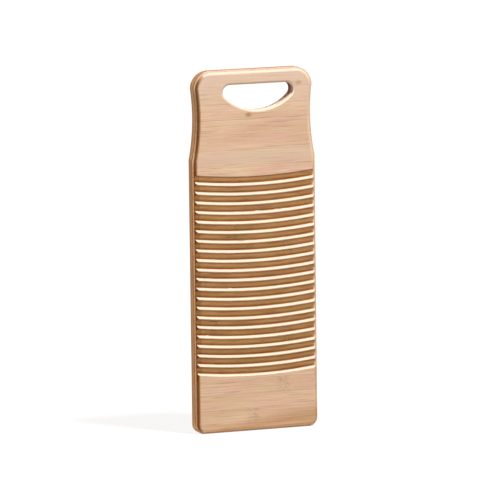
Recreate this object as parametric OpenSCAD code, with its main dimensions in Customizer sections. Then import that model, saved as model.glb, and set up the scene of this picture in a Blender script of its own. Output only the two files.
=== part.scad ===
// Bamboo washboard with a hand hole, a moulded edge and curved rubbing flutes.
// The board is laminated from staves glued edge to edge in three plies. The staves of the
// front and back plies run across the board, and those of the core run from foot to head.
// Each stave is drawn with the board lying on its back: X across, Y from foot to head and
// Z up to the rubbing face. stand() then sets the board on its foot, facing -Y.

/* [Board] */
// Height of the board from the foot to the top edge
board_h = 450; // [420:5:520]
// Width of the board below the shoulders
board_w = 160; // [140:2:200]
// Plan radius of the two lower corners
foot_corner_r = 11; // [9:1:30]
// Plan radius of the two upper corners
top_corner_r = 22; // [10:1:40]

/* [Neck] */
// How far each side is drawn in at the narrowest point of the neck
neck_inset = 5.3; // [4:0.1:12]
// How far each side of the head flares out again from the neck
head_flare = 2.3; // [1:0.1:4]
// Distance from the top edge down to the narrowest point of the neck
neck_drop = 57; // [50:1:80]

/* [Edges] */
// Width of the flat ledge round the moulded front edge
ledge_w = 2; // [0.5:0.25:3]
// Radius of the rounded front edge inside the ledge
front_round_r = 4.5; // [3:0.25:5.75]
// Radius of the rounded back edge
back_round_r = 3; // [1.5:0.25:4]
// Radius of the rounded edges of the hand hole
hole_round_r = 3; // [1.5:0.25:4]
// How far the edge roundings overshoot the faces, which leaves a faint arris
arris = 0.15; // [0.05:0.05:0.3]

/* [Hand hole] */
// Height of the grip bar above the hand hole
grip_h = 18; // [16:1:30]
// Height of the hand hole at its middle
hole_h = 33; // [28:1:40]
// Radius of the two upper corners of the hand hole
hole_corner_r = 9; // [6:0.5:13]
// Distance between the centres of those two corners
hole_corner_span = 73; // [50:1:80]
// How far the hand hole was cut to the right of the board's middle
hole_shift = 5.5; // [0:0.5:8]

/* [Rubbing face] */
// Number of flutes
flute_count = 21; // [10:1:24]
// Spacing of the flutes up the board
flute_pitch = 11.9; // [9:0.05:13]
// Width of the flat crest between two flutes
crest_w = 0.8; // [0.4:0.1:2]
// Depth of a flute below the face
flute_depth = 3.4; // [2:0.1:4]
// Radius of the sweep that each flute follows across the board
flute_sweep_r = 620; // [400:10:1500]
// Height of the plain foot below the flutes at the middle of the board
foot_plain_h = 69; // [40:1:90]

/* [Plies and staves] */
// Thickness of the front ply
front_ply_t = 7; // [5.75:0.25:8]
// Thickness of the core ply
core_ply_t = 6; // [3:0.5:10]
// Thickness of the back ply
back_ply_t = 7; // [4.5:0.25:8]
// Number of equal staves in the front and back plies, between the lowest and the highest
stave_count = 22; // [20:1:24]
// Height of the lowest front stave, ripped to suit the foot
front_first_h = 9.5; // [7:0.5:14]
// Height of the highest front stave, left wide for the grip
front_last_h = 22.5; // [20:0.5:26]
// Height of the lowest back stave, which keeps the back glue lines off the front ones
back_first_h = 24; // [20:0.5:25]
// Number of lengthwise staves in the core
core_stave_count = 7; // [5:1:9]

/* [Hidden] */
// Heights of the plies above the back face
back_top_z = back_ply_t;
core_top_z = back_top_z + core_ply_t;
board_t = core_top_z + front_ply_t;

// Outline, as half widths and heights above the foot
half_w = board_w / 2;
neck_half_w = half_w - neck_inset;
neck_y = board_h - neck_drop;
head_half_w = neck_half_w + head_flare;
head_y = board_h - top_corner_r;
top_half_w = head_half_w - top_corner_r;
foot_half_w = half_w - foot_corner_r;

// The hollow side of the neck: one arc from the shoulder to the head
neck_r = (pow(head_y - neck_y, 2) + pow(head_flare, 2)) / (2 * head_flare);
neck_x = neck_half_w + neck_r;
shoulder_y = neck_y - sqrt(pow(neck_r, 2) - pow(neck_r - neck_inset, 2));

// Rough panel and cuts: overhang of the panel, clearance past a face, reach of an edge cut
overhang = 4;
past = 1;
reach = overhang + neck_inset + max(top_corner_r, foot_corner_r);
// Length, and angle along the neck, by which two cuts that meet at a corner run on past it
line_runon = 4;
neck_runon_a = line_runon / neck_r * 180 / PI;

// Edge profiles
ledge_z = board_t - front_round_r + arris;
front_inset = ledge_w + front_round_r;
back_inset = back_round_r - arris;

// Hand hole: a flat top, two round corners and a base arc that is tangent to both
hole_top_y = board_h - grip_h;
hole_base_y = hole_top_y - hole_h;
hole_corner_x = hole_corner_span / 2;
hole_corner_y = hole_top_y - hole_corner_r;
hole_left = hole_shift - hole_corner_x - hole_corner_r;
hole_right = hole_shift + hole_corner_x + hole_corner_r;
hole_rise = hole_h - hole_corner_r;
hole_base_r = (pow(hole_corner_x, 2) + pow(hole_rise, 2) - pow(hole_corner_r, 2))
    / (2 * (hole_rise - hole_corner_r));
hole_base_cy = hole_base_y + hole_base_r;
hole_join_a = atan2(hole_corner_x, hole_base_r - hole_rise);
hole_corner_steps = 12;
hole_base_steps = 14;
hole_round_steps = 5;

// Flutes: a round-nosed cut that follows the same sweep at every spacing
flute_r = (pow((flute_pitch - crest_w) / 2, 2) + pow(flute_depth, 2)) / (2 * flute_depth);
flute_z = board_t - flute_depth + flute_r;
flute_half_a = asin((half_w + reach) / flute_sweep_r);
flute_sag = flute_sweep_r - sqrt(pow(flute_sweep_r, 2) - pow(half_w, 2));

// Smoothness of the swept cuts and of the round noses that make them
sweep_fn = 360;
nose_fn = 64;

// Bamboo tones of the plies
face_tone = [0.87, 0.73, 0.61];
core_tone = [0.80, 0.66, 0.50];
back_tone = [0.84, 0.70, 0.57];
tone_step = 0.025;

// Staves of a face ply, counted from the foot
stave_h = (board_h - front_first_h - front_last_h) / stave_count;
last_stave = stave_count + 1;
core_stave_w = board_w / core_stave_count;

function stave_low(first_h, i) = i == 0 ? 0 : first_h + (i - 1) * stave_h;
function stave_high(first_h, i) = i == last_stave ? board_h : first_h + i * stave_h;

// A stave that the hand hole cuts through is left in two pieces
function face_ends(first_h, i) =
    stave_low(first_h, i) >= hole_base_y && stave_high(first_h, i) <= hole_top_y
    ? ["_left", "_right"] : [""];
function core_low(i) = -half_w + i * core_stave_w;
function core_high(i) = core_low(i) + core_stave_w;
function core_ends(i) =
    core_low(i) >= hole_left && core_high(i) <= hole_right ? ["_lower", "_upper"] : [""];

function face_name(ply, i, end) = str(ply, "_stave_", i < 9 ? "0" : "", i + 1, end);
function core_name(i, end) = str("core_stave_", i + 1, end);

// Sets the board on its foot, with the rubbing face towards -Y
module stand() {
    translate([0, board_t / 2, 0])
        rotate([90, 0, 0])
            children();
}

// A block of the rough panel between two corners
module panel_block(low, high) {
    translate(low)
        cube(high - low);
}

// Edge profiles: X is the distance out from the outline and Y the height above the back face.
// Each profile is the section of what the edge cut takes away.
module plain_edge() {
    translate([0, -past])
        square([reach, board_t + 2 * past]);
}

module front_edge() {
    plain_edge();
    difference() {
        translate([-front_inset, ledge_z])
            square([front_inset, board_t - ledge_z + past]);
        translate([-front_inset, ledge_z])
            circle(r = front_round_r, $fn = nose_fn);
    }
}

module back_edge() {
    plain_edge();
    difference() {
        translate([-back_inset, -past])
            square([back_inset, back_inset + past]);
        translate([-back_inset, back_inset])
            circle(r = back_round_r, $fn = nose_fn);
    }
}

// Sweeps an edge profile along a straight side, with the board on the left of the way
module along_line(from, to) {
    way = to - from;
    translate([to.x, to.y, 0])
        rotate([90, 0, atan2(way.y, way.x) - 90])
            linear_extrude(norm(way))
                children();
}

// Sweeps an edge profile round a corner
module along_corner(centre, r, from_a, to_a) {
    translate([centre.x, centre.y, 0])
        rotate([0, 0, from_a])
            rotate_extrude(angle = to_a - from_a, $fn = sweep_fn)
                translate([r, 0])
                    children();
}

// Sweeps an edge profile along a hollow side, whose centre lies outside the board
module along_hollow(centre, r, from_a, to_a) {
    along_corner(centre, r, from_a, to_a)
        mirror([1, 0])
            children();
}

// The cut along the hollow side of the neck, run on past the shoulder and the head
module route_neck() {
    along_hollow(
        [neck_x, neck_y],
        neck_r,
        180 - asin((head_y - neck_y) / neck_r) - neck_runon_a,
        180 + asin((neck_y - shoulder_y) / neck_r) + neck_runon_a
    )
        children();
}

// The cuts along the rest of the right side. A corner starts with a short straight run-on.
module route_side(low, high) {
    if (low < foot_corner_r)
        along_corner([foot_half_w, foot_corner_r], foot_corner_r, -90, 0)
            children();
    if (low < shoulder_y && high > foot_corner_r)
        along_line([half_w, foot_corner_r], [half_w, shoulder_y + line_runon])
            children();
    if (high > head_y) {
        along_line([head_half_w, head_y - line_runon], [head_half_w, head_y])
            children();
        along_corner([top_half_w, head_y], top_corner_r, 0, 90)
            children();
    }
}

module both_sides() {
    children();
    mirror([1, 0, 0])
        children();
}

// Cuts a block of the rough panel, the first child, to the outline with an edge profile, the
// second child. Only the cuts that reach between the block's two heights are made.
module route_outline(low, high) {
    difference() {
        difference() {
            children(0);
            if (high > shoulder_y)
                both_sides()
                    route_neck()
                        children(1);
        }
        both_sides()
            route_side(low, high)
                children(1);
        if (low <= 0)
            along_line([-foot_half_w, 0], [foot_half_w, 0])
                children(1);
        if (high >= board_h)
            along_line([top_half_w, board_h], [-top_half_w, board_h])
                children(1);
    }
}

// The outline of the hand hole, grown by a distance
function arc_points(centre, r, from_a, to_a, steps) =
    [for (k = [0:steps]) let (a = from_a + (to_a - from_a) * k / steps)
        centre + r * [cos(a), sin(a)]];

function hole_outline(grow) =
    let (
        corner_r = hole_corner_r + grow,
        right = [hole_shift + hole_corner_x, hole_corner_y],
        left = [hole_shift - hole_corner_x, hole_corner_y],
        base = arc_points([hole_shift, hole_base_cy], hole_base_r + grow,
            270 - hole_join_a, 270 + hole_join_a, hole_base_steps)
    )
    concat(
        arc_points(right, corner_r, hole_join_a - 90, 90, hole_corner_steps),
        arc_points(left, corner_r, 90, 270 - hole_join_a, hole_corner_steps),
        [for (k = [1:hole_base_steps - 1]) base[k]]
    );

// A solid through a stack of hole outlines, each given as its growth and its height
module hole_loft(levels) {
    rings = [for (level = levels) [for (p = hole_outline(level[0])) [p.x, p.y, level[1]]]];
    m = len(rings[0]);
    top = (len(rings) - 1) * m;
    polyhedron(
        points = [for (ring = rings) each ring],
        faces = concat(
            [[for (k = [0:m - 1]) k]],
            [[for (k = [m - 1:-1:0]) top + k]],
            [for (j = [0:m:top - m], k = [0:m - 1]) [j + k, j + m + k, j + m + (k + 1) % m]],
            [for (j = [0:m:top - m], k = [0:m - 1]) [j + k, j + m + (k + 1) % m, j + (k + 1) % m]]
        )
    );
}

// Growth and depth below the face of the rounded edge of the hole, from the wall to the face
function hole_round(k) =
    let (a = 90 * k / hole_round_steps)
    [hole_round_r * (1 - cos(a)), hole_round_r * (1 - sin(a))];

module front_hole() {
    hole_loft(concat(
        [[0, core_top_z - past]],
        [for (k = [0:hole_round_steps]) [hole_round(k)[0], board_t - hole_round(k)[1]]],
        [[hole_round_r, board_t + past]]
    ));
}

module core_hole() {
    translate([0, 0, back_top_z - past])
        linear_extrude(core_ply_t + 2 * past)
            polygon(hole_outline(0));
}

module back_hole() {
    hole_loft(concat(
        [[hole_round_r, -past]],
        [for (k = [hole_round_steps:-1:0]) [hole_round(k)[0], hole_round(k)[1]]],
        [[0, back_top_z + past]]
    ));
}

// The flutes that reach between two heights
module flutes(low, high) {
    for (k = [0:flute_count - 1]) {
        y = foot_plain_h + flute_pitch * (k + 0.5);
        if (y + flute_sag + flute_pitch / 2 > low && y - flute_pitch / 2 < high)
            translate([0, y + flute_sweep_r, 0])
                rotate([0, 0, -90 - flute_half_a])
                    rotate_extrude(angle = 2 * flute_half_a, $fn = sweep_fn)
                        translate([flute_sweep_r, flute_z])
                            circle(r = flute_r, $fn = nose_fn);
    }
}

// Whether the hand hole or its rounded edge reaches between two heights
function meets_hole(low, high) =
    low < hole_top_y + hole_round_r && high > hole_base_y - hole_round_r;

// The rough block of a face stave: the first and last overhang the outline, and a stave that
// the hand hole cuts through is drawn as its left or right piece
module face_block(low, high, low_z, high_z, end) {
    panel_block(
        [end == "_right" ? hole_shift : -half_w - overhang, low <= 0 ? -overhang : low, low_z],
        [end == "_left" ? hole_shift : half_w + overhang, high >= board_h ? high + overhang : high, high_z]
    );
}

// A stave of the front ply, with its share of the moulded edge, the hand hole and the flutes
module front_stave(i, end) {
    low = stave_low(front_first_h, i);
    high = stave_high(front_first_h, i);
    color(face_tone * (1 - tone_step * (i * 3 % 4)))
        stand()
            difference() {
                route_outline(low, high) {
                    face_block(low, high, core_top_z, board_t, end);
                    front_edge();
                }
                if (meets_hole(low, high))
                    front_hole();
                flutes(low, high);
            }
}

// A lengthwise stave of the core
module core_stave(i, end) {
    low_x = i == 0 ? -half_w - overhang : core_low(i);
    high_x = i == core_stave_count - 1 ? half_w + overhang : core_high(i);
    low_y = end == "_upper" ? hole_corner_y : -overhang;
    high_y = end == "_lower" ? hole_corner_y : board_h + overhang;
    color(core_tone * (1 - tone_step * (i % 3)))
        stand()
            difference() {
                route_outline(low_y, high_y) {
                    panel_block([low_x, low_y, back_top_z], [high_x, high_y, core_top_z]);
                    plain_edge();
                }
                core_hole();
            }
}

// A stave of the back ply, with its share of the rounded back edge and the hand hole
module back_stave(i, end) {
    low = stave_low(back_first_h, i);
    high = stave_high(back_first_h, i);
    color(back_tone * (1 - tone_step * (i * 3 % 4)))
        stand()
            difference() {
                route_outline(low, high) {
                    face_block(low, high, 0, back_top_z, end);
                    back_edge();
                }
                if (meets_hole(low, high))
                    back_hole();
            }
}

for (i = [0:last_stave], end = face_ends(back_first_h, i))
    back_stave(i, end);

for (i = [0:core_stave_count - 1], end = core_ends(i))
    core_stave(i, end);

for (i = [0:last_stave], end = face_ends(front_first_h, i))
    front_stave(i, end);
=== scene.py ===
import math

import bmesh
import bpy
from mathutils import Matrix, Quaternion, Vector

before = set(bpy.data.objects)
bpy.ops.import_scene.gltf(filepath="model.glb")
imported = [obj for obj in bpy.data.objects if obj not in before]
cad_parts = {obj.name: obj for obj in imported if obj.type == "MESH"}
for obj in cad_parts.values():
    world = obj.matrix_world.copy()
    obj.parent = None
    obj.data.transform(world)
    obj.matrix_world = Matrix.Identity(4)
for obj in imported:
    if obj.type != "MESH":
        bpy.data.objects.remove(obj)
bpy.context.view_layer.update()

# Core staves. Seven bamboo strips run from foot to head and are glued edge to edge.
# They are the middle of the sandwich, and show only as a band along the board's edge
# and inside the hand hole.
CORE_STAVE_W = 0.160 / 7
CORE_FIRST_JOINT = -0.080
CORE_CANES = 0  # which canes the staves come from: it sets each stave's tone, fibre and node
CORE_PALE = (0.64, 0.37, 0.17, 1)
CORE_DEEP = (0.50, 0.27, 0.11, 1)
GLUE_BROWN = (0.20, 0.10, 0.045, 1)
END_TONE = (0.77, 0.61, 0.42, 1)


def wire(tree, kind, feeds=None, **settings):
    """Adds a shader node, sets it up and feeds its sockets with links or plain values."""
    made = tree.nodes.new(kind)
    for key, value in settings.items():
        setattr(made, key, value)
    for socket, feed in (feeds or {}).items():
        if isinstance(feed, bpy.types.NodeSocket):
            tree.links.new(feed, made.inputs[socket])
        else:
            made.inputs[socket].default_value = feed
    return made


def reckon(tree, operation, *terms):
    """Works out one number from others."""
    return wire(tree, "ShaderNodeMath", dict(enumerate(terms)), operation=operation).outputs[0]


def where_all(tree, mask, *others):
    """Where all of these masks hold at once."""
    for other in others:
        mask = reckon(tree, "MULTIPLY", mask, other)
    return mask


def ramp(tree, value, low, high, at_low, at_high):
    """Eases from one value to another while the input goes from low to high."""
    feeds = {"Value": value, "From Min": low, "From Max": high, "To Min": at_low, "To Max": at_high}
    eased = wire(tree, "ShaderNodeMapRange", feeds, interpolation_type="SMOOTHSTEP")
    return eased.outputs["Result"]


def tint(tree, amount, under, over, how="MIX"):
    """Lays one colour over another by an amount."""
    feeds = {0: amount, 6: under, 7: over}
    mixed = wire(tree, "ShaderNodeMix", feeds, data_type="RGBA", blend_type=how)
    return mixed.outputs[2]


def axes_of(tree, coords):
    """X, Y and Z of each place on the board (Object), or of the way it faces (Normal)."""
    read = wire(tree, "ShaderNodeTexCoord").outputs[coords]
    return wire(tree, "ShaderNodeSeparateXYZ", {0: read}).outputs


def within(tree, spot, mid_x, half_w, mid_z, half_h):
    """The part of the board inside an upright rectangle."""
    by_width = reckon(tree, "COMPARE", spot["X"], mid_x, half_w)
    by_height = reckon(tree, "COMPARE", spot["Z"], mid_z, half_h)
    return where_all(tree, by_width, by_height)


def lie_of_staves(tree, grain, canes, first_joint, stave_step):
    """Places along and across the fibre of a ply, and what the cane of each stave was like."""
    spot = axes_of(tree, "Object")
    across = spot["Z" if grain == "X" else "X"]
    row = reckon(tree, "DIVIDE", reckon(tree, "SUBTRACT", across, first_joint), stave_step)
    draw = reckon(tree, "ADD", reckon(tree, "FLOOR", row), canes)
    cane = wire(tree, "ShaderNodeTexWhiteNoise", {"W": draw}, noise_dimensions="1D").outputs
    return {"spot": spot, "along": spot[grain], "across": across, "depth": spot["Y"], "row": row,
            "cane": cane["Value"], "cane_node": cane["Color"]}


# The patterns in bamboo: scale along the fibre, scale across it, and fineness.
FIBRE = (14, 900, 4)
CLOUDS = (9, 60, 2)
FLECKS = (90, 2400, 1)
STREAKS = (22, 420, 1)
HUES = (20, 75, 2)
GLUE_SQUEEZE = (25, 8, 2)
CANE_SHIFT = 40.0  # how far apart the patterns of two canes can lie


def drawn_out(tree, lie, pattern):
    """Noise drawn out along the fibre, different in each stave."""
    along_scale, across_scale, fineness = pattern
    run = reckon(tree, "MULTIPLY", lie["along"], along_scale)
    run = reckon(tree, "MULTIPLY_ADD", lie["cane"], CANE_SHIFT, run)
    width = reckon(tree, "MULTIPLY", lie["across"], across_scale)
    height = reckon(tree, "MULTIPLY", lie["depth"], across_scale)
    at = wire(tree, "ShaderNodeCombineXYZ", {0: run, 1: width, 2: height}).outputs[0]
    feeds = {"Vector": at, "Scale": 1.0, "Detail": fineness, "Roughness": 0.6}
    return wire(tree, "ShaderNodeTexNoise", feeds).outputs["Fac"]


MOST_CLOUD = 0.75
MOST_FLECK = 0.35
MOST_STREAK = 0.27
HUE_SWING = 0.009
TONE_SWING = 0.03


def fibre_colour(tree, lie, fibre, pale, deep):
    """Pale and deep fibre with clouds, flecks and streaks, and a tone of its own in each stave."""
    colour = tint(tree, ramp(tree, fibre, 0.3, 0.7, 0, 1), pale, deep)
    cloud = ramp(tree, drawn_out(tree, lie, CLOUDS), 0.35, 0.75, 0, MOST_CLOUD)
    colour = tint(tree, cloud, colour, deep)
    fleck = ramp(tree, drawn_out(tree, lie, FLECKS), 0.64, 0.76, 0, MOST_FLECK)
    colour = tint(tree, fleck, colour, GLUE_BROWN)
    streak = ramp(tree, drawn_out(tree, lie, STREAKS), 0.58, 0.74, 0, MOST_STREAK)
    colour = tint(tree, streak, colour, GLUE_BROWN)
    hue = ramp(tree, drawn_out(tree, lie, HUES), 0.35, 0.65, 0.5 - HUE_SWING, 0.5 + HUE_SWING)
    tone = ramp(tree, lie["cane"], 0, 1, 1 - TONE_SWING, 1 + TONE_SWING)
    feeds = {"Hue": hue, "Saturation": 1.0, "Value": tone, "Fac": 1.0, "Color": colour}
    return wire(tree, "ShaderNodeHueSaturation", feeds).outputs[0]


NODE_REACH = 0.2
NODE_HALF_W = (0.004, 0.011)
HATCH_SLANT = 0.6
HATCH_SCALE = (700, 120)
MOST_HATCH = 0.24


def cane_nodes(tree, lie):
    """The hatched patch where a node of the cane crosses a stave. Some nodes fall off the board."""
    chance = wire(tree, "ShaderNodeSeparateColor", {0: lie["cane_node"]}).outputs["Red"]
    node_at = ramp(tree, chance, 0, 1, -NODE_REACH, NODE_REACH)
    off_node = reckon(tree, "ABSOLUTE", reckon(tree, "SUBTRACT", lie["along"], node_at))
    slanted = reckon(tree, "MULTIPLY_ADD", lie["across"], HATCH_SLANT, lie["along"])
    run = reckon(tree, "MULTIPLY", slanted, HATCH_SCALE[0])
    width = reckon(tree, "MULTIPLY", lie["across"], HATCH_SCALE[1])
    at = wire(tree, "ShaderNodeCombineXYZ", {0: run, 1: width}).outputs[0]
    hatch = wire(tree, "ShaderNodeTexNoise", {"Vector": at, "Scale": 1.0, "Detail": 1.0}).outputs["Fac"]
    strokes = ramp(tree, hatch, 0.45, 0.6, 0, MOST_HATCH)
    return where_all(tree, strokes, ramp(tree, off_node, *NODE_HALF_W, 1, 0))


GLUE_HALF_W = (0.004, 0.02)
GLUE_STRENGTH = (0.1, 0.45)


def glue_lines(tree, lie):
    """The glue at each joint: a fine line, here stronger and there weaker."""
    part = reckon(tree, "FRACT", lie["row"])
    off_joint = reckon(tree, "MINIMUM", part, reckon(tree, "SUBTRACT", 1.0, part))
    squeeze = ramp(tree, drawn_out(tree, lie, GLUE_SQUEEZE), 0.35, 0.65, *GLUE_STRENGTH)
    return where_all(tree, squeeze, ramp(tree, off_joint, *GLUE_HALF_W, 1, 0))


PORES_PER_METRE = 1100.0
MOST_PORE = 0.55


def end_grain(tree, lie, end_tone):
    """The tone of bamboo cut across its fibre, which is darker and full of pores."""
    at = wire(tree, "ShaderNodeCombineXYZ", {0: lie["across"], 1: lie["depth"]}).outputs[0]
    pore = wire(tree, "ShaderNodeTexVoronoi", {"Vector": at, "Scale": PORES_PER_METRE})
    pore_dark = ramp(tree, pore.outputs["Distance"], 0.15, 0.5, MOST_PORE, 0)
    return tint(tree, pore_dark, end_tone, GLUE_BROWN)


# Painted shade: the board's up-facing top edge is made darker.
TOP_SHADE_TONE = (0.68, 0.66, 0.68, 1)
TOP_FROM_Z = 0.432
TOP_LEAN = (0.45, 0.95)


def shade_top(tree, spot, lean, colour):
    """Paints shade on the board's top edge, where it faces up."""
    at_top = reckon(tree, "GREATER_THAN", spot["Z"], TOP_FROM_Z)
    shaded_top = where_all(tree, at_top, ramp(tree, lean["Z"], *TOP_LEAN, 0, 1))
    return tint(tree, shaded_top, colour, TOP_SHADE_TONE, "MULTIPLY")


HOLE_MID_X = 0.0055
HOLE_HALF_W = 0.0475
HOLE_MID_Z = 0.4155
HOLE_HALF_H = 0.019
# Painted highlight on the hand hole's up-facing base, and painted shade on its right end wall.
HOLE_BASE_HIGHLIGHT = (0.80, 0.68, 0.57, 1)
HOLE_BASE_LEAN = (0.7, 0.95)
MOST_HOLE_BASE_HIGHLIGHT = 0.8
HOLE_SHADE_BROWN = (0.27, 0.095, 0.005, 1)
HOLE_SHADE_LEAN_X = (-0.85, -0.45)
HOLE_SHADE_LEAN_Y = (-0.55, -0.4)


def light_and_shade_hole(tree, spot, lean, colour):
    """Paints a highlight on the hand hole's up-facing base, and shade on the wall at its right end."""
    in_hole = within(tree, spot, HOLE_MID_X, HOLE_HALF_W, HOLE_MID_Z, HOLE_HALF_H)
    on_base = ramp(tree, lean["Z"], *HOLE_BASE_LEAN, 0, MOST_HOLE_BASE_HIGHLIGHT)
    colour = tint(tree, where_all(tree, in_hole, on_base), colour, HOLE_BASE_HIGHLIGHT)
    right_end = ramp(tree, lean["X"], *HOLE_SHADE_LEAN_X, 1, 0)
    on_wall = ramp(tree, lean["Y"], *HOLE_SHADE_LEAN_Y, 0, 1)
    hole_shade = where_all(tree, in_hole, right_end, on_wall)
    return tint(tree, hole_shade, colour, HOLE_SHADE_BROWN, "MULTIPLY")


END_LEAN = (0.2, 0.85)
GLOSS = 0.06
ROUGHNESS = (0.44, 0.6)
END_ROUGHER = 0.15
GLUE_SINK = -1.5
BUMP_STRENGTH = 0.12
BUMP_HEIGHT = 0.0003


def bamboo(name, grain, canes, first_joint, stave_step, pale, deep, end_tone):
    """Glued bamboo staves whose fibre runs along one axis and whose joints repeat across it."""
    finish = bpy.data.materials.new(name)
    finish.use_nodes = True
    tree = finish.node_tree
    shader = tree.nodes["Principled BSDF"]
    lie = lie_of_staves(tree, grain, canes, first_joint, stave_step)
    lean = axes_of(tree, "Normal")
    fibre = drawn_out(tree, lie, FIBRE)
    glue = glue_lines(tree, lie)
    end_cut = ramp(tree, reckon(tree, "ABSOLUTE", lean[grain]), *END_LEAN, 0, 1)

    colour = fibre_colour(tree, lie, fibre, pale, deep)
    colour = tint(tree, cane_nodes(tree, lie), colour, GLUE_BROWN)
    colour = tint(tree, glue, colour, GLUE_BROWN)
    colour = tint(tree, end_cut, colour, end_grain(tree, lie, end_tone), "MULTIPLY")
    # Painted shade on the top edge.
    colour = shade_top(tree, lie["spot"], lean, colour)
    # Painted highlight and painted shade in the hand hole.
    colour = light_and_shade_hole(tree, lie["spot"], lean, colour)
    tree.links.new(colour, shader.inputs["Base Color"])

    shader.inputs["Specular IOR Level"].default_value = GLOSS
    roughness = ramp(tree, fibre, 0.3, 0.7, *ROUGHNESS)
    roughness = reckon(tree, "MULTIPLY_ADD", end_cut, END_ROUGHER, roughness)
    tree.links.new(roughness, shader.inputs["Roughness"])
    height = reckon(tree, "MULTIPLY_ADD", glue, GLUE_SINK, fibre)
    feeds = {"Strength": BUMP_STRENGTH, "Distance": BUMP_HEIGHT, "Height": height}
    tree.links.new(wire(tree, "ShaderNodeBump", feeds).outputs["Normal"], shader.inputs["Normal"])
    return finish


def dress(prefix, finish):
    """Gives every stave of a ply its finish."""
    for name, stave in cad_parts.items():
        if name.startswith(prefix):
            stave.data.materials.clear()
            stave.data.materials.append(finish)


core_bamboo = bamboo("core bamboo", "Z", CORE_CANES, CORE_FIRST_JOINT, CORE_STAVE_W,
                     CORE_PALE, CORE_DEEP, END_TONE)
dress("core_stave", core_bamboo)

# Back staves. Bamboo strips 19 mm wide run across the board behind the core. The lowest
# is ripped wider, so that their glue lines fall between those of the front.
FACE_STAVE_H = 0.019
BACK_FIRST_JOINT = 0.024
BACK_CANES = 0
BACK_PALE = (0.74, 0.51, 0.36, 1)
BACK_DEEP = (0.62, 0.40, 0.26, 1)
back_bamboo = bamboo("back bamboo", "X", BACK_CANES, BACK_FIRST_JOINT, FACE_STAVE_H,
                     BACK_PALE, BACK_DEEP, END_TONE)
dress("back_stave", back_bamboo)

# Front staves. The same strips run across the front. The flutes, the moulded edge and
# the hand hole were cut after they were glued up, and the face is sanded, not varnished.
FRONT_FIRST_JOINT = 0.0095
FRONT_CANES = 249939  # canes with a node where the photo shows one
FRONT_PALE = (0.84, 0.60, 0.445, 1)
FRONT_DEEP = (0.665, 0.435, 0.285, 1)
FRONT_END_TONE = (0.88, 0.78, 0.64, 1)
front_bamboo = bamboo("front bamboo", "X", FRONT_CANES, FRONT_FIRST_JOINT, FACE_STAVE_H,
                      FRONT_PALE, FRONT_DEEP, FRONT_END_TONE)
tree = front_bamboo.node_tree
shader = tree.nodes["Principled BSDF"]
colour = shader.inputs["Base Color"].links[0].from_socket
place = wire(tree, "ShaderNodeTexCoord").outputs["Object"]
spot = axes_of(tree, "Object")
lean = axes_of(tree, "Normal")

# A pale veil of painted light lies over the grip, and the first stave above the flutes has its own
# paler tone.
# From there painted shade deepens the board's tone to the foot, most of all at its right corner.
GRIP_VEIL_AND_STAVE_PALE = (0.84, 0.66, 0.54, 1)
GRIP_Z = (0.385, 0.445)
MOST_GRIP_VEIL = 0.5
PALE_STAVE_MID_Z = 0.342
PALE_STAVE_SHARE = 0.3
FOOT_SHADE_TONE = (0.94, 0.92, 0.91, 1)
BOARD_H = 0.450
CORNER_SHADE_TONE = (0.78, 0.71, 0.58, 1)
CORNER_SLANT = -0.12
CORNER_Z = (0.006, 0.023)
colour = tint(tree, ramp(tree, spot["Z"], *GRIP_Z, 0, MOST_GRIP_VEIL), colour, GRIP_VEIL_AND_STAVE_PALE)
pale_stave = reckon(tree, "COMPARE", spot["Z"], PALE_STAVE_MID_Z, FACE_STAVE_H / 2)
colour = tint(tree, reckon(tree, "MULTIPLY", pale_stave, PALE_STAVE_SHARE), colour, GRIP_VEIL_AND_STAVE_PALE)
colour = tint(tree, ramp(tree, spot["Z"], 0, BOARD_H, 1, 0), colour, FOOT_SHADE_TONE, "MULTIPLY")
from_corner = reckon(tree, "MULTIPLY_ADD", spot["X"], CORNER_SLANT, spot["Z"])
colour = tint(tree, ramp(tree, from_corner, *CORNER_Z, 1, 0), colour, CORNER_SHADE_TONE, "MULTIPLY")

# Painted highlight: what faces up is made paler, above all the upper side of each flute.
UPWARD_HIGHLIGHT = (0.73, 0.605, 0.51, 1)
HIGHLIGHT_LEAN = (0.42, 0.62)
MOST_HIGHLIGHT = 0.85
colour = tint(tree, ramp(tree, lean["Z"], *HIGHLIGHT_LEAN, 0, MOST_HIGHLIGHT), colour, UPWARD_HIGHLIGHT)

# A small knot lies just under the hand hole, and a fainter one beside it.
FACE_Y = -0.010
KNOT_BROWN = (0.46, 0.27, 0.11, 1)
KNOTS = (((-0.0075, FACE_Y, 0.3945), 0.9), ((0.058, FACE_Y, 0.431), 0.55))
KNOT_FLATNESS = (1, 0, 1.5)
KNOT_R = (0.001, 0.0065)
for knot_spot, darkness in KNOTS:
    from_knot = wire(tree, "ShaderNodeVectorMath", {0: place, 1: knot_spot}, operation="SUBTRACT")
    feeds = {0: from_knot.outputs[0], 1: KNOT_FLATNESS}
    flattened = wire(tree, "ShaderNodeVectorMath", feeds, operation="MULTIPLY").outputs[0]
    knot_off = wire(tree, "ShaderNodeVectorMath", {0: flattened}, operation="LENGTH").outputs["Value"]
    colour = tint(tree, ramp(tree, knot_off, *KNOT_R, darkness, 0), colour, KNOT_BROWN)

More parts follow.
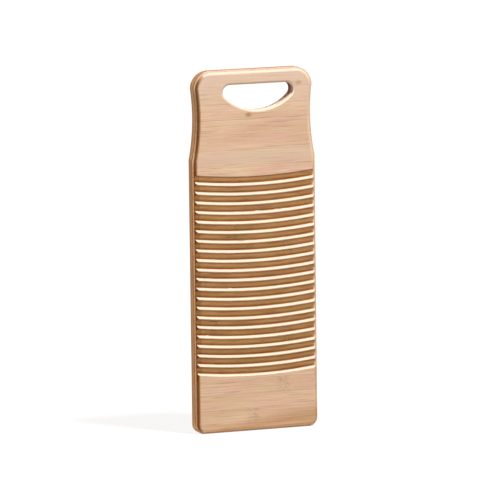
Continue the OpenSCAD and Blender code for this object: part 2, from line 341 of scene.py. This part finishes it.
# Painted shade: the grip's top edge and the lower edge of the hand hole are darker where they meet the
# face.
ROUNDING_SHADE = (0.78, 0.75, 0.73, 1)
ROUNDING_SHADE_FROM_Z = 0.39
ROUNDING_SHADE_LEAN_FROM = (0.06, 0.22)
ROUNDING_SHADE_LEAN_TO = (0.35, 0.6)
LEAST_ROUNDING_SHADE = 0.3
on_head = reckon(tree, "GREATER_THAN", spot["Z"], ROUNDING_SHADE_FROM_Z)
off_face = ramp(tree, lean["Z"], *ROUNDING_SHADE_LEAN_FROM, 0, 1)
near_face = ramp(tree, lean["Z"], *ROUNDING_SHADE_LEAN_TO, 1, LEAST_ROUNDING_SHADE)
colour = tint(tree, where_all(tree, on_head, off_face, near_face), colour, ROUNDING_SHADE, "MULTIPLY")

# Painted highlight: the right-facing rounding of the head and neck is made paler, hardly darker than
# the face.
NECK_HIGHLIGHT = (0.78, 0.56, 0.41, 1)
NECK_Z = (0.315, 0.345)
NECK_LEAN = (0.12, 0.4)
MOST_NECK_HIGHLIGHT = 0.9
right_round = ramp(tree, lean["X"], *NECK_LEAN, 0, MOST_NECK_HIGHLIGHT)
by_neck = ramp(tree, spot["Z"], *NECK_Z, 0, 1)
colour = tint(tree, where_all(tree, right_round, by_neck), colour, NECK_HIGHLIGHT)

# Painted highlight on the hand hole's rim at its right end.
RIM_HIGHLIGHT = (0.95, 0.80, 0.65, 1)
RIM_LEAN_X = (-0.4, -0.1)
RIM_LEAN_Y = (-0.57, -0.43)
in_hole = within(tree, spot, HOLE_MID_X, HOLE_HALF_W, HOLE_MID_Z, HOLE_HALF_H)
faces_left = ramp(tree, lean["X"], *RIM_LEAN_X, 1, 0)
on_rim = ramp(tree, lean["Y"], *RIM_LEAN_Y, 1, 0)
colour = tint(tree, where_all(tree, in_hole, faces_left, on_rim), colour, RIM_HIGHLIGHT)

# The flutes are browner than the face where they don't face up, partly their own deeper tone and partly
# painted shade, most of all on their flanks, and streaked along their length.
FLUTE_DEPTH = 0.0034
SUNK_Y = (FACE_Y + 0.05 * FLUTE_DEPTH, FACE_Y + 0.5 * FLUTE_DEPTH)
SHADE_LEAN = (0.40, 0.60)
FLUTE_MID_X = -0.001
FLUTE_HALF_W = 0.0775
FLUTE_MID_Z = 0.1965
FLUTE_HALF_H = 0.1305
FLUTE_FLANK_BROWN_AND_SHADE = (0.51, 0.32, 0.125, 1)
FLUTE_BOTTOM_BROWN_AND_SHADE = (1.0, 0.84, 0.54, 1)
BOTTOM_LEAN = -0.25
BOTTOM_SPREAD = (0.15, 0.6)
FLUTE_STREAK = (0.74, 0.66, 0.56, 1)
FLUTE_STREAK_SCALE = (28, 0, 170)
MOST_FLUTE_STREAK = 0.7
# Sunk parts that don't face up, where painted shade goes.
sunk = ramp(tree, spot["Y"], *SUNK_Y, 0, 1)
sunk_shade = where_all(tree, sunk, ramp(tree, lean["Z"], *SHADE_LEAN, 1, 0))
in_flutes = within(tree, spot, FLUTE_MID_X, FLUTE_HALF_W, FLUTE_MID_Z, FLUTE_HALF_H)
off_bottom = reckon(tree, "ABSOLUTE", reckon(tree, "SUBTRACT", lean["Z"], BOTTOM_LEAN))
flute_brown_and_shade = tint(tree, ramp(tree, off_bottom, *BOTTOM_SPREAD, 1, 0), FLUTE_FLANK_BROWN_AND_SHADE, FLUTE_BOTTOM_BROWN_AND_SHADE)
feeds = {0: place, 1: FLUTE_STREAK_SCALE}
streaks_at = wire(tree, "ShaderNodeVectorMath", feeds, operation="MULTIPLY").outputs[0]
feeds = {"Vector": streaks_at, "Scale": 1.0, "Detail": 3.0}
streaks = wire(tree, "ShaderNodeTexNoise", feeds).outputs["Fac"]
streaked = ramp(tree, streaks, 0.42, 0.66, 0, MOST_FLUTE_STREAK)
flute_brown_and_shade = tint(tree, streaked, flute_brown_and_shade, FLUTE_STREAK, "MULTIPLY")
colour = tint(tree, where_all(tree, sunk_shade, in_flutes), colour, flute_brown_and_shade, "MULTIPLY")

# Painted shade browns the left side too, on the moulded edge's rounding and at the flutes' ends.
# Painted light makes the ledge outside them paler.
SIDE_SHADE_BROWN = (0.80, 0.73, 0.63, 1)
SIDE_X = (-0.0725, -0.0705)
LEDGE_PAINTED_LIGHT = (1.03, 0.87, 0.68, 1)
LEDGE_X = (-0.0782, -0.0774)
EDGE_SHADE_BROWN = (0.50, 0.355, 0.215, 1)
EDGE_X = (-0.066, -0.064)
EDGE_LEAN = (-0.75, -0.1)
left_side = ramp(tree, spot["X"], *SIDE_X, 1, 0)
side_shade = tint(tree, ramp(tree, spot["X"], *LEDGE_X, 1, 0), SIDE_SHADE_BROWN, LEDGE_PAINTED_LIGHT)
colour = tint(tree, where_all(tree, sunk_shade, left_side), colour, side_shade, "MULTIPLY")
left_edge = ramp(tree, spot["X"], *EDGE_X, 1, 0)
on_round = where_all(tree, left_edge, ramp(tree, lean["X"], *EDGE_LEAN, 1, 0))
colour = tint(tree, on_round, colour, EDGE_SHADE_BROWN, "MULTIPLY")
tree.links.new(colour, shader.inputs["Base Color"])
dress("front_stave", front_bamboo)

# Floor. A plain white studio floor that the board stands on. It is white to the camera,
# with only the board's soft shadow on it, and throws back little light but for a strip
# along the foot.
FLOOR_HALF = 12
FLOOR_WHITE = (0.8, 0.8, 0.8, 1)
FLOOR_GREY = (0.2, 0.2, 0.2, 1)
FOOT_STRIP = (0.0105, 0.02)
OWN_WHITE = 0.85
PURE_WHITE = (1, 1, 1, 1)


def seen_white(tree):
    """Where the floor or the room is looked at, straight or in a reflection, and shows white."""
    sight = wire(tree, "ShaderNodeLightPath").outputs
    mirrored = reckon(tree, "MAXIMUM", sight["Is Glossy Ray"], sight["Is Transmission Ray"])
    return reckon(tree, "MAXIMUM", sight["Is Camera Ray"], mirrored)


floor_mesh = bpy.data.meshes.new("studio floor")
sheet = bmesh.new()
bmesh.ops.create_grid(sheet, x_segments=1, y_segments=1, size=FLOOR_HALF)
sheet.to_mesh(floor_mesh)
sheet.free()
floor = bpy.data.objects.new("studio floor", floor_mesh)
bpy.context.scene.collection.objects.link(floor)
floor_paint = bpy.data.materials.new("floor white")
floor_paint.use_nodes = True
tree = floor_paint.node_tree
tree.nodes.clear()
seen = seen_white(tree)
from_foot = reckon(tree, "ABSOLUTE", axes_of(tree, "Object")["Y"])
bounce = tint(tree, ramp(tree, from_foot, *FOOT_STRIP, 1, 0), FLOOR_GREY, FLOOR_WHITE)
matt = wire(tree, "ShaderNodeBsdfDiffuse", {"Color": tint(tree, seen, bounce, FLOOR_WHITE)}).outputs[0]
white = wire(tree, "ShaderNodeEmission", {"Color": PURE_WHITE, "Strength": 1.0}).outputs[0]
feeds = {0: reckon(tree, "MULTIPLY", seen, OWN_WHITE), 1: matt, 2: white}
mixed = wire(tree, "ShaderNodeMixShader", feeds)
wire(tree, "ShaderNodeOutputMaterial", {"Surface": mixed.outputs[0]})
floor_mesh.materials.append(floor_paint)

# Studio light. A high key lamp to the right rakes down the face and catches the upper side
# of each flute. A weak, broad one low on the left of the front lights the flutes' bottoms,
# a broad one low behind lights the back, and a white room fills the rest.
KEY_STRENGTH = 3.95
KEY_TONE = (1, 1, 1)
KEY_TURN = math.radians(40)
KEY_HEIGHT = math.radians(65.4)
KEY_SOFTNESS = math.radians(7)
FRONT_STRENGTH = 0.68
FRONT_TONE = (1, 0.95, 0.88)
FRONT_TURN = math.radians(-35)
FRONT_HEIGHT = math.radians(12)
FRONT_SOFTNESS = math.radians(40)
BACK_STRENGTH = 1.45
BACK_TONE = (1, 0.9, 0.78)
BACK_TURN = math.radians(-165)
BACK_HEIGHT = math.radians(15)
BACK_SOFTNESS = math.radians(60)
ROOM_LIGHT = 0.52
ROOM_TONE = (1, 0.92, 0.82, 1)


def towards(turn, height):
    """Direction from the board to a place round it, at a turn from its front and a height."""
    level = math.cos(height)
    return Vector((math.sin(turn) * level, -math.cos(turn) * level, math.sin(height)))


def hang_lamp(name, strength, tone, turn, height, softness):
    """Hangs a lamp that shines on the board from far off."""
    light = bpy.data.lights.new(name, "SUN")
    light.energy = strength
    light.color = tone
    light.angle = softness
    lamp = bpy.data.objects.new(name, light)
    lamp.rotation_mode = "QUATERNION"
    lamp.rotation_quaternion = towards(turn, height).to_track_quat("Z", "Y")
    bpy.context.scene.collection.objects.link(lamp)


hang_lamp("key lamp", KEY_STRENGTH, KEY_TONE, KEY_TURN, KEY_HEIGHT, KEY_SOFTNESS)
hang_lamp("front lamp", FRONT_STRENGTH, FRONT_TONE, FRONT_TURN, FRONT_HEIGHT, FRONT_SOFTNESS)
hang_lamp("back lamp", BACK_STRENGTH, BACK_TONE, BACK_TURN, BACK_HEIGHT, BACK_SOFTNESS)

room = bpy.data.worlds.new("white room")
room.use_nodes = True
tree = room.node_tree
tree.nodes.clear()
dim = wire(tree, "ShaderNodeBackground", {"Color": ROOM_TONE, "Strength": ROOM_LIGHT}).outputs[0]
white = wire(tree, "ShaderNodeBackground", {"Color": PURE_WHITE, "Strength": 1.0}).outputs[0]
mixed = wire(tree, "ShaderNodeMixShader", {0: seen_white(tree), 1: dim, 2: white})
wire(tree, "ShaderNodeOutputWorld", {"Surface": mixed.outputs[0]})
bpy.context.scene.world = room
bpy.context.scene.view_settings.view_transform = "Standard"

# Camera. It stands to the left of the board and a little above it, far off with a long
# lens, so that there is hardly any perspective. Its roll and shift are the photo's framing.
CAMERA_TURN = math.radians(-19.68)
CAMERA_RISE = math.radians(8.61)
CAMERA_ROLL = math.radians(-0.702)
CAMERA_FAR = 6.9
CAMERA_LENS = 402.6
CAMERA_SHIFT_X = -0.0064
CAMERA_SHIFT_Y = -0.0005
AIM = Vector((0, 0, BOARD_H / 2))
photo_camera = bpy.data.cameras.new("photo camera")
photo_camera.lens = CAMERA_LENS
photo_camera.shift_x = CAMERA_SHIFT_X
photo_camera.shift_y = CAMERA_SHIFT_Y
camera = bpy.data.objects.new("photo camera", photo_camera)
to_camera = towards(CAMERA_TURN, CAMERA_RISE)
camera.location = AIM + to_camera * CAMERA_FAR
camera.rotation_mode = "QUATERNION"
camera.rotation_quaternion = to_camera.to_track_quat("Z", "Y") @ Quaternion((0, 0, 1), CAMERA_ROLL)
bpy.context.scene.collection.objects.link(camera)
bpy.context.scene.camera = camera
